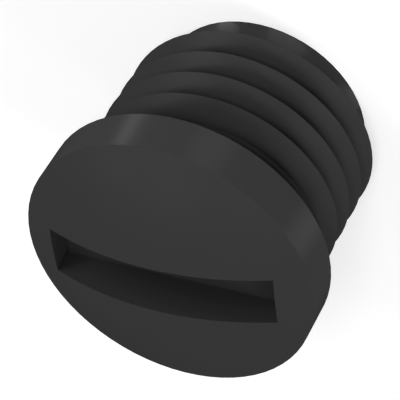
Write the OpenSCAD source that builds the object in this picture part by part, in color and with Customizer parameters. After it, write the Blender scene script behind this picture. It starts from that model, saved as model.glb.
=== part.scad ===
// Screw-in protective cap for a small round connector socket, moulded in one piece.
// A domed, slotted head stands on a hollow plug that carries the fastening thread.
// The cap stands on the open end of its plug: the origin is the centre of that end,
// +Z runs up to the head, and the screwdriver slot lies along X.

/* [Head] */
// Diameter of the head
head_d = 9.1; // [8.6:0.1:11]
// Height of the straight rim under the dome
rim_h = 1.4; // [1:0.1:2.5]
// Height of the dome above the rim
dome_h = 1.1; // [0.6:0.1:1.6]

/* [Slot] */
// Length of the closed screwdriver slot
slot_l = 7.1; // [4:0.1:7.4]
// Width of the slot
slot_w = 1.7; // [0.8:0.1:2.2]
// Depth of the slot floor below the top of the dome
slot_depth = 1.5; // [1:0.1:2]

/* [Plug] */
// Length of the plug below the head
plug_l = 6; // [5.6:0.1:9]
// Diameter of the plain end that leads the plug into its socket
lead_d = 6.76; // [6.6:0.02:6.9]
// Length of the plain end
lead_l = 0.75; // [0.6:0.05:0.9]
// Diameter of the blind bore that clears the contact insert
bore_d = 5.6; // [4.5:0.1:5.7]
// Plastic left between the bore and the slot floor
web_t = 1.5; // [1.1:0.1:2]
// Chamfer at the mouth of the bore
mouth_chamfer = 0.2; // [0.1:0.05:0.3]

/* [Thread] */
// Outer diameter of the thread, over the crests
thread_d = 8; // [7.8:0.1:8.4]
// Distance from one crest to the next
pitch = 1; // [1:0.05:1.25]
// Radial height of the thread above the core
thread_h = 0.7; // [0.6:0.01:0.7]
// Radial height of its last turn, which is eased down towards the head
last_h = 0.61; // [0.4:0.01:0.7]
// Width of the flat along the crest
crest_w = 0.02; // [0.02:0.01:0.04]
// Lean of each flank from square to the axis
flank_angle = 30; // [20:1:30]
// Height of the crest where the thread starts, above the open end
start_z = 0.75; // [0.6:0.05:1]
// Direction in which the thread starts, round from the slot
start_angle = -108; // [-180:1:180]
// Gap under the head where the thread ends
relief_l = 0.52; // [0.5:0.05:1]
// Turn over which the thread rises at its start and sinks at its end
fade_angle = 60; // [45:5:120]

/* [Hidden] */
$fn = 96;

// Overlap that lets one shape cut or join another cleanly
lap = 0.5;

// Radius of the core at the roots of the thread
core_r = thread_d / 2 - thread_h;
// The dome is the top of a ball that meets the rim at the head's edge
dome_r = (pow(head_d / 2, 2) + pow(dome_h, 2)) / (2 * dome_h);
// Heights of the seat under the head, the top of the rim and the top of the dome
seat_z = plug_l;
rim_z = seat_z + rim_h;
top_z = rim_z + dome_h;
// Floors of the slot and of the bore, with the web between them
slot_floor_z = top_z - slot_depth;
bore_depth = slot_floor_z - web_t;

// The root of the ridge lies this far inside the core, and its two ends sink this far
root_sink = 0.12;
end_sink = 0.05;
// Steps round one turn of the ridge
steps_per_turn = 72;
thread_turns = (seat_z - relief_l - start_z) / pitch;
thread_steps = round(thread_turns * steps_per_turn);
thread_sweep = 360 * thread_turns;

// The crest is eased to the height of the last turn between these angles, counted back from its end
ease_from = 400;
ease_to = 140;
last_rise = (last_h + end_sink) / (thread_h + end_sink);
run_out = [[0, 0], [fade_angle, last_rise], [ease_to, last_rise], [ease_from, 1]];

// Crest radius at an angle along the ridge: it rises, runs full, is eased and sinks again
function rise(a) = min(a / fade_angle, lookup(thread_sweep - a, run_out));
function crest_r(a) = core_r - end_sink + (thread_h + end_sink) * rise(a);

// The four corners of the ridge's section, turned and lifted to their place on the helix
function section(a) =
    let (
        root_r = core_r - root_sink,
        crest = crest_r(a),
        half_root = crest_w / 2 + (crest - root_r) * tan(flank_angle),
        half_crest = crest_w / 2,
        z = start_z + pitch * a / 360,
        turn = start_angle + a
    )
    [for (corner = [[root_r, -half_root], [crest, -half_crest], [crest, half_crest], [root_r, half_root]])
        [corner[0] * cos(turn), corner[0] * sin(turn), z + corner[1]]];

// One ridge wound round the core, as rings of four corners joined by triangles
module thread_ridge() {
    angles = [for (i = [0:thread_steps]) thread_sweep * i / thread_steps];
    corners = [for (a = angles) each section(a)];
    sides = [
        for (i = [0:thread_steps - 1])
        for (k = [0:3])
        let (
            here = 4 * i + k,
            beside = 4 * i + (k + 1) % 4,
            next = here + 4,
            next_beside = beside + 4
        )
        each [[here, beside, next_beside], [here, next_beside, next]]
    ];
    last = 4 * thread_steps;
    polyhedron(corners, concat(sides, [[3, 2, 1, 0], [last, last + 1, last + 2, last + 3]]));
}

// Domed head with its straight rim and flat underside
module head_form() {
    intersection() {
        translate([0, 0, seat_z])
            cylinder(d = head_d, h = rim_h + dome_h + lap);
        translate([0, 0, top_z - dome_r])
            sphere(r = dome_r);
    }
}

// Closed slot for a flat screwdriver, with a level floor
module slot_cut() {
    translate([-slot_l / 2, -slot_w / 2, slot_floor_z])
        cube([slot_l, slot_w, slot_depth + lap]);
}

// Blind bore, opened at its mouth by a chamfer
module bore_cut() {
    translate([0, 0, -lap])
        cylinder(d = bore_d, h = bore_depth + lap);
    translate([0, 0, -lap])
        cylinder(r1 = bore_d / 2 + mouth_chamfer + lap, r2 = bore_d / 2, h = mouth_chamfer + lap);
}

module cap() {
    color("#353637")
    difference() {
        union() {
            head_form();
            cylinder(r = core_r, h = seat_z + lap);
            cylinder(d = lead_d, h = lead_l);
            thread_ridge();
        }
        slot_cut();
        bore_cut();
    }
}

cap();
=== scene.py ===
# %% [markdown]
# # A screw-in protective cap for a small round connector
#
# The cap is one moulding in black plastic: a domed head with a screwdriver slot, and under it a short
# hollow plug with a fine thread. It closes an unused connector socket against dust and splashes.
#
# Its whole form is already in the construction model, so this lesson adds no shape. What is left is what
# the eye reads as real: how the thread's flanks catch light, the fine grain of the mould, the soft lamps
# of a studio table and the viewpoint. We load the construction model first, as a frame that never moves.

# %% Load the construction model
import math

import bpy
import numpy as np
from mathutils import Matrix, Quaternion, Vector


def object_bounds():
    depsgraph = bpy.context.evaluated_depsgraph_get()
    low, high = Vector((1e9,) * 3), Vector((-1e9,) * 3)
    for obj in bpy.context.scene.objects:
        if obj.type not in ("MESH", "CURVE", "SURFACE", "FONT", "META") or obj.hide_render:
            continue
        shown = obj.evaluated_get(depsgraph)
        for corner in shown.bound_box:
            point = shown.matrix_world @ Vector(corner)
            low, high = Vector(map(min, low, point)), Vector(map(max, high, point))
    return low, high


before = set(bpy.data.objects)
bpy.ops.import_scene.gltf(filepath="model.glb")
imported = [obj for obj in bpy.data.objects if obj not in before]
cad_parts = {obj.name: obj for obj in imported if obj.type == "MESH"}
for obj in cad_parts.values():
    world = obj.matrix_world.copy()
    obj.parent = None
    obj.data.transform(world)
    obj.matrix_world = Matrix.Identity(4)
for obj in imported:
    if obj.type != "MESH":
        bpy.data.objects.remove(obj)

MM = 0.001
cad_low, cad_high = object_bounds()
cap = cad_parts["cap"]
cap_size = (cad_high - cad_low) / MM
print("cap:", len(cap.data.polygons), "faces,", [round(side, 2) for side in cap_size], "mm")

# %% [markdown]
# ## The viewpoint
#
# The picture is taken from high on the slotted side with a long lens, so the head hides most of its own
# seat and the thread shows behind it. A camera can be placed by typing a position and three angles, but
# nobody can check such numbers by eye. Here it is described as a photographer would: the point it looks
# at, the direction it stands in, how far away it is, and how far it is rolled. The roll is large because
# the cap stands on its plug here, while the picture shows it tumbled over. The values come from fitting
# a pinhole camera to the picture's outline, slot and crests.

# %% Place the camera
SENSOR = 36.0
LENS = 199.18
LOOK_AT = Vector((-0.278, -0.079, 4.432)) * MM
CAMERA_AZIMUTH = 62.05
CAMERA_ELEVATION = 40.61
CAMERA_DISTANCE = 66.65 * MM
CAMERA_ROLL = -148.54
NEAREST_SEEN = 1 * MM
FARTHEST_SEEN = 10.0
UP = Vector((0, 0, 1))


def direction(azimuth, elevation):
    """Unit vector towards an azimuth, turning from +X to +Y, and an elevation, both in degrees."""
    turn = math.radians(azimuth)
    lift = math.radians(elevation)
    return Vector((math.cos(turn) * math.cos(lift), math.sin(turn) * math.cos(lift), math.sin(lift)))


def add_camera():
    """The scene's camera, rolled about its own line of sight."""
    camera = bpy.data.objects.new("camera", bpy.data.cameras.new("camera"))
    bpy.context.scene.collection.objects.link(camera)
    camera.data.sensor_width = SENSOR
    camera.data.lens = LENS
    camera.data.clip_start = NEAREST_SEEN
    camera.data.clip_end = FARTHEST_SEEN
    towards = direction(CAMERA_AZIMUTH, CAMERA_ELEVATION)
    camera.location = LOOK_AT + towards * CAMERA_DISTANCE
    aim = (-towards).to_track_quat("-Z", "Y")
    camera.rotation_mode = "QUATERNION"
    camera.rotation_quaternion = aim @ Quaternion(UP, math.radians(CAMERA_ROLL))
    bpy.context.scene.camera = camera
    return camera


camera = add_camera()
print("camera at", [round(side / MM, 2) for side in camera.location], "mm, lens", LENS, "mm")

# %% [markdown]
# ## Smooth flanks, crisp edges
#
# On the real cap the flanks of the thread are one smooth winding surface, and the rim, the slot and the
# crests end in crisp edges. The construction mesh holds small flat triangles, each with its own corner
# normals, so the flanks would show as facets. A subdivision would round the crests away. It is enough to
# tell each triangle's corners which way the true surface faces.
#
# First we read every corner of every face, and find the corners that meet at the same point.

# %% Read the corners of the mesh
POINT_STEP = 0.0005 * MM


def read_corners(mesh):
    """For every corner: its place, its normal, and the normal and the area of its face."""
    point_of = np.empty(len(mesh.loops), np.int32)
    mesh.loops.foreach_get("vertex_index", point_of)
    points = np.empty(len(mesh.vertices) * 3, np.float32)
    mesh.vertices.foreach_get("co", points)
    place = points.reshape(-1, 3)[point_of]
    normal = np.array([corner.vector for corner in mesh.corner_normals], float)
    face_of = np.repeat(np.arange(len(mesh.polygons)), [face.loop_total for face in mesh.polygons])
    face_normal = np.array([face.normal for face in mesh.polygons])[face_of]
    area = np.array([face.area for face in mesh.polygons])[face_of]
    return place, normal, face_normal, area


def group_by_point(place):
    """The corners as groups, one for each point where some meet."""
    keys = np.round(place / POINT_STEP).astype(np.int64)
    order = np.lexsort(keys.T)
    starts = np.flatnonzero(np.any(np.diff(keys[order], axis=0) != 0, axis=1)) + 1
    return np.split(order, starts)


corner_place, corner_normal, face_normal, face_area = read_corners(cap.data)
groups = group_by_point(corner_place)
print(len(corner_place), "corners meet at", len(groups), "points")

# %% [markdown]
# Now every corner takes the average of the faces that meet at its point and lean less than a set angle
# from its own face. Large faces count for more. The flanks blend into each other along the helix, while
# edges sharper than that angle stay as they are.

# %% Blend the normals of the flanks
BLEND_ANGLE = 24.0


def unit_rows(rows):
    """Every row of an array, scaled to length 1."""
    return rows / np.linalg.norm(rows, axis=1, keepdims=True)


def blend_normals(groups, normal, face_normal, area):
    """The mean normal, for each corner, of the faces near its own lean at the same point."""
    limit = math.cos(math.radians(BLEND_ANGLE))
    blended = normal.copy()
    for here in groups:
        near = face_normal[here] @ face_normal[here].T > limit
        blended[here] = (near * area[here]) @ normal[here]
    return unit_rows(blended)


smooth_normal = blend_normals(groups, corner_normal, face_normal, face_area)
turned = np.degrees(np.arccos(np.clip((smooth_normal * corner_normal).sum(axis=1), -1, 1)))
print("corner normals turned by", round(float(turned.mean()), 2), "degrees in the mean")

# %% [markdown]
# The crest needs one more rule. It is a flat only 0.02 mm wide, and as it stands upright it would mirror
# the table in a thin bright line. A moulded crest is a sharp edge with no such face, so its corners lean
# like the flank above it. On the last turn, close under the head, they face almost straight up, so that
# the crest stays in the head's shade with its flank.

# %% Lean the crests
UPRIGHT_LIMIT = 0.2
FLANK_LEAN = 60.0
SEAT_LEAN = 88.0
CREST_INNER = 3.45 * MM
CREST_OUTER = 4.05 * MM
LAST_TURN = 4.75 * MM
THREAD_TOP = 5.8 * MM


def find_crests(place, face_normal):
    """Tells for each corner whether its face is upright and as far out as the thread's crests."""
    radius = np.hypot(place[:, 0], place[:, 1])
    upright = np.abs(face_normal[:, 2]) < UPRIGHT_LIMIT
    on_ridge = (radius > CREST_INNER) & (radius < CREST_OUTER) & (place[:, 2] < THREAD_TOP)
    return upright & on_ridge


def lean_up(place, face_normal):
    """Normals for corners of upright faces: lifted like the flank, and almost fully on the last turn."""
    outward = unit_rows(face_normal * (1, 1, 0))
    lean = np.radians(np.where(place[:, 2:] > LAST_TURN, SEAT_LEAN, FLANK_LEAN))
    return outward * np.cos(lean) + np.array(UP) * np.sin(lean)


crest = find_crests(corner_place, face_normal)
smooth_normal[crest] = lean_up(corner_place[crest], face_normal[crest])
cap.data.polygons.foreach_set("use_smooth", [True] * len(cap.data.polygons))
cap.data.normals_split_custom_set(smooth_normal.tolist())
print(int(crest.sum()), "corners lie on crests")

# %% [markdown]
# ## Shader maths as plain expressions
#
# A plastic's grain and mottling are sums and products of noise. Wired by hand they become a tangle of
# small Math nodes. A class that stands for one output socket lets us write them as ordinary Python
# expressions, such as `1 + 0.1 * mottle`, and adds the Math nodes for us. One more method adds any
# other kind of node: first its settings, then the values or wires of its inputs.

# %% A wire that can be added and multiplied
class Wire:
    """An output socket of a node tree. Arithmetic on it adds Math nodes."""

    def __init__(self, tree, socket=None):
        self.tree = tree
        self.socket = socket

    def node(self, kind, settings=None, inputs=None, output=0):
        """Adds a node, sets it up, connects its inputs and returns one of its outputs, if it has any."""
        made = self.tree.nodes.new(kind)
        for name, value in (settings or {}).items():
            setattr(made, name, value)
        for name, value in (inputs or {}).items():
            if isinstance(value, Wire):
                self.tree.links.new(value.socket, made.inputs[name])
            else:
                made.inputs[name].default_value = value
        return Wire(self.tree, made.outputs[output] if made.outputs else None)

    def maths(self, operation, first, second):
        """Adds a Math node for two values or wires."""
        return self.node("ShaderNodeMath", {"operation": operation}, {0: first, 1: second})

    def __add__(self, other):
        return self.maths("ADD", self, other)

    def __radd__(self, other):
        return self.maths("ADD", other, self)

    def __sub__(self, other):
        return self.maths("SUBTRACT", self, other)

    def __rsub__(self, other):
        return self.maths("SUBTRACT", other, self)

    def __mul__(self, other):
        return self.maths("MULTIPLY", self, other)

    def __rmul__(self, other):
        return self.maths("MULTIPLY", other, self)


def clean_wire(owner):
    """Empties the node tree of a material or a world, and returns a loose wire to build it from."""
    owner.use_nodes = True
    owner.node_tree.nodes.clear()
    return Wire(owner.node_tree)


print("wires ready")

# %% [markdown]
# ## The moulded plastic
#
# The cap is moulded in glass-fibre-filled nylon, dyed through in black. The mould is spark-eroded, which
# leaves a skin of tiny overlapping craters a few hundredths of a millimetre wide. From a step away it
# reads as satin: it has one soft sheen and no mirror image. A single dark colour would look like
# a hole in the picture, so three small things are layered: the craters as a bump, broad and very faint
# differences in shade where the melt cooled at different speeds, and a little unevenness in the sheen.
# All of it is measured in millimetres on the cap itself.
#
# The sheen is a thin coat over a dull body, not the body's own reflection. Any smooth surface turns into
# a mirror where it is seen at a low angle, and the cap's edges would glow with the white ground. A rough
# skin doesn't: its craters hide each other there. So the coat's weight fades as the surface turns away
# from the eye.

# %% Make the black plastic
PLASTIC_SHADE = 0.0352
PLASTIC_MOTTLE = 0.04
SHEEN_MOTTLE = 0.03
BODY_ROUGHNESS = 0.5
SKIN_GLOSS = 0.27
SKIN_ROUGHNESS = 0.3
SKIN_IOR = 1.5
MOTTLE_WIDTH = 1.6 * MM
MOTTLE_DETAIL = 3
CRATER_WIDTH = 0.05 * MM
CRATER_DETAIL = 2
CRATER_DEPTH = 0.002 * MM
NOISE_ROUGHNESS = 0.5


def noise(wire, width, detail):
    """Noise between 0 and 1 on the object itself, whose blotches are about this wide."""
    place = wire.node("ShaderNodeTexCoord", output="Object")
    values = {"Vector": place, "Scale": 1 / width, "Detail": detail, "Roughness": NOISE_ROUGHNESS}
    return wire.node("ShaderNodeTexNoise", {"noise_dimensions": "3D"}, values)


def moulded_black():
    """Dull black with a faint mottle, craters as a bump, and a coat that fades towards the edges."""
    material = bpy.data.materials.new("moulded_black")
    wire = clean_wire(material)
    mottle = noise(wire, MOTTLE_WIDTH, MOTTLE_DETAIL) * 2 - 1
    craters = noise(wire, CRATER_WIDTH, CRATER_DETAIL)
    grain = wire.node("ShaderNodeBump", inputs={"Distance": CRATER_DEPTH, "Height": craters}, output="Normal")
    turned_away = wire.node("ShaderNodeLayerWeight", output="Facing")
    plastic = wire.node(
        "ShaderNodeBsdfPrincipled",
        inputs={
            "Base Color": PLASTIC_SHADE * (1 + PLASTIC_MOTTLE * mottle),
            "Roughness": BODY_ROUGHNESS,
            "Specular IOR Level": 0.0,
            "Coat Weight": SKIN_GLOSS * (1 - turned_away) * (1 + SHEEN_MOTTLE * mottle),
            "Coat Roughness": SKIN_ROUGHNESS,
            "Coat IOR": SKIN_IOR,
            "Normal": grain,
        },
    )
    wire.node("ShaderNodeOutputMaterial", inputs={"Surface": plastic})
    return material


cap.data.materials.clear()
cap.data.materials.append(moulded_black())
print("plastic of", len(cap.data.materials[0].node_tree.nodes), "nodes on", cap.name)

# %% [markdown]
# ## The table
#
# The cap stands on the open end of its plug, on a plain pale sheet. The picture's ground is pure white,
# and a sheet that is only lit never gets there without too much light on the cap. So the sheet keeps its
# pale colour and its shadows, and also glows a little towards the camera and in reflections.

# %% Lay the pale floor
FLOOR_WIDTH = 2.0
FLOOR_SHADE = 0.7
FLOOR_ROUGHNESS = 0.9
FLOOR_GLOW = 0.56


def seen_directly(wire):
    """1 for rays from the camera and for mirror and glass rays, which should all meet the white ground."""
    seen = wire.node("ShaderNodeLightPath", output="Is Camera Ray")
    for kind in ("Is Glossy Ray", "Is Transmission Ray"):
        seen = wire.maths("MAXIMUM", seen, wire.node("ShaderNodeLightPath", output=kind))
    return seen


def pale_floor():
    """A pale sheet that also glows for the rays that see it directly."""
    material = bpy.data.materials.new("pale_floor")
    wire = clean_wire(material)
    pale = (FLOOR_SHADE, FLOOR_SHADE, FLOOR_SHADE, 1)
    sheet = wire.node("ShaderNodeBsdfPrincipled", inputs={"Base Color": pale, "Roughness": FLOOR_ROUGHNESS})
    glow = wire.node("ShaderNodeEmission", inputs={"Strength": FLOOR_GLOW})
    lit = wire.node("ShaderNodeAddShader", inputs={0: sheet, 1: glow})
    floor_shader = wire.node("ShaderNodeMixShader", inputs={0: seen_directly(wire), 1: sheet, 2: lit})
    wire.node("ShaderNodeOutputMaterial", inputs={"Surface": floor_shader})
    return material


def add_floor():
    """A square sheet under the cap."""
    half = FLOOR_WIDTH / 2
    corners = [(-half, -half, 0), (half, -half, 0), (half, half, 0), (-half, half, 0)]
    mesh = bpy.data.meshes.new("floor")
    mesh.from_pydata(corners, [], [(0, 1, 2, 3)])
    mesh.materials.append(pale_floor())
    floor = bpy.data.objects.new("floor", mesh)
    bpy.context.scene.collection.objects.link(floor)
    return floor


floor = add_floor()
print("floor", floor.dimensions.x, "m wide")

# %% [markdown]
# ## A dim room that looks white
#
# A black object shows its form only by what it mirrors. In a white tent every side of it would look the
# same. So the room gives the cap only a little light, but it is white where the camera or a mirror ray
# meets it, like the sheet.

# %% Add the room
WORLD_LEVEL = 0.15
WHITE = (1, 1, 1, 1)


def add_world():
    """A room that lights the cap dimly, but is white where it is seen directly or in a reflection."""
    world = bpy.data.worlds.new("studio")
    wire = clean_wire(world)
    dim = wire.node("ShaderNodeBackground", inputs={"Color": WHITE, "Strength": WORLD_LEVEL})
    white = wire.node("ShaderNodeBackground", inputs={"Color": WHITE, "Strength": 1.0})
    room = wire.node("ShaderNodeMixShader", inputs={0: seen_directly(wire), 1: dim, 2: white})
    wire.node("ShaderNodeOutputWorld", inputs={"Surface": room})
    bpy.context.scene.world = world


add_world()
bpy.context.scene.view_settings.view_transform = "Standard"
print("room at", WORLD_LEVEL, "of white")

# %% [markdown]
# ## Soft lamps above
#
# Most of the light comes from a few soft round lamps above the table, 14 cm away from the cap. They shade
# the dome and the thread's flanks. Each is given as one would point at it: the direction it hangs in, how
# high, and how strong. Directions and strengths were first fitted to the greys of the picture by a program,
# then rounded, and a few were changed.

# %% Hang the soft lamps
LAMP_DISTANCE = 140 * MM
LAMP_WIDTH = 35 * MM
MILLIWATT = 0.001
AIM = Vector((0, 0, 4.5)) * MM

# Azimuth and elevation in degrees, then strength in milliwatts
SOFT_LAMPS = [
    (-40, 25, 19),
    (-10, 40, 37),
    (5, 55, 10),
    (70, 48, 57),
    (120, 25, 30),
    (120, 10, 26),
    (134, 56, 10),
    (150, 48, 9),
    (180, 75, 3),
    (180, 55, 3),
]


def add_lamp(name, shape, place, towards, watts):
    """An area lamp that shines one way and is itself never seen by the camera."""
    lamp = bpy.data.objects.new(name, bpy.data.lights.new(name, "AREA"))
    bpy.context.scene.collection.objects.link(lamp)
    lamp.data.shape = shape
    lamp.data.energy = watts
    lamp.location = place
    lamp.rotation_mode = "QUATERNION"
    lamp.rotation_quaternion = towards.to_track_quat("-Z", "Y")
    lamp.visible_camera = False
    return lamp


def add_soft_lamp(azimuth, elevation, milliwatts):
    """A round lamp that hangs in this direction and shines at the thread's upper half."""
    out = direction(azimuth, elevation)
    place = AIM + out * LAMP_DISTANCE
    lamp = add_lamp("soft_lamp", "DISK", place, -out, milliwatts * MILLIWATT)
    lamp.data.size = LAMP_WIDTH


for row in SOFT_LAMPS:
    add_soft_lamp(*row)
print(len(SOFT_LAMPS), "soft lamps")

# %% [markdown]
# ## Small panels in the table
#
# Seen from above, the upright rim and the plug's end mirror the table and nothing else, so the lamps above
# can't show in them. Small panels let into the table can: each draws one soft upright streak.
#
# A photographer slides such a panel about until its streak sits where it should. Here the law of the
# mirror finds the place at once: we pick the spot on the wall that should shine, bounce the line of sight
# off the wall there, and put the panel where it meets the table. The panels' strengths were found in the
# same fit as those of the soft lamps, and rounded too.

# %% Lay the panels
PANEL_LIFT = 0.02 * MM

# Radius of an upright wall and the height of a spot on it, in mm
RIM = (cap_size[0] / 2, 6.7)
PLUG_END = (3.38, 0.3)

# The wall and the azimuth of the streak on it, length and width of the panel in mm, then radiance
TABLE_PANELS = [
    (RIM, 103, 3.0, 1.5, 8.8),
    (RIM, 71, 3.0, 4.4, 1.8),
    (RIM, 25, 3.0, 3.9, 2.8),
    (PLUG_END, 103, 0.6, 0.7, 2.0),
    (PLUG_END, 70, 0.6, 1.4, 0.9),
    (PLUG_END, 27, 0.6, 1.2, 0.9),
]


def mirrored_on_table(wall, azimuth):
    """The point of the table that the camera sees mirrored in a wall, and its direction from the wall."""
    radius, height = wall
    outward = direction(azimuth, 0)
    spot = (outward * radius + UP * height) * MM
    sight = (camera.location - spot).normalized()
    bounce = 2 * outward.dot(sight) * outward - sight
    return spot + bounce * (spot.z / -bounce.z), math.atan2(bounce.y, bounce.x)


def add_panel(wall, azimuth, length, width, radiance):
    """A panel that lies face up on the table. Its strength follows its area."""
    place, turn = mirrored_on_table(wall, azimuth)
    watts = math.pi * length * width * MM**2 * radiance
    lamp = add_lamp("table_panel", "RECTANGLE", place, UP, watts)
    lamp.location.z = PANEL_LIFT
    lamp.rotation_quaternion = Quaternion(UP, turn) @ lamp.rotation_quaternion
    lamp.data.size = length * MM
    lamp.data.size_y = width * MM


for row in TABLE_PANELS:
    add_panel(*row)
print(len(TABLE_PANELS), "table panels")
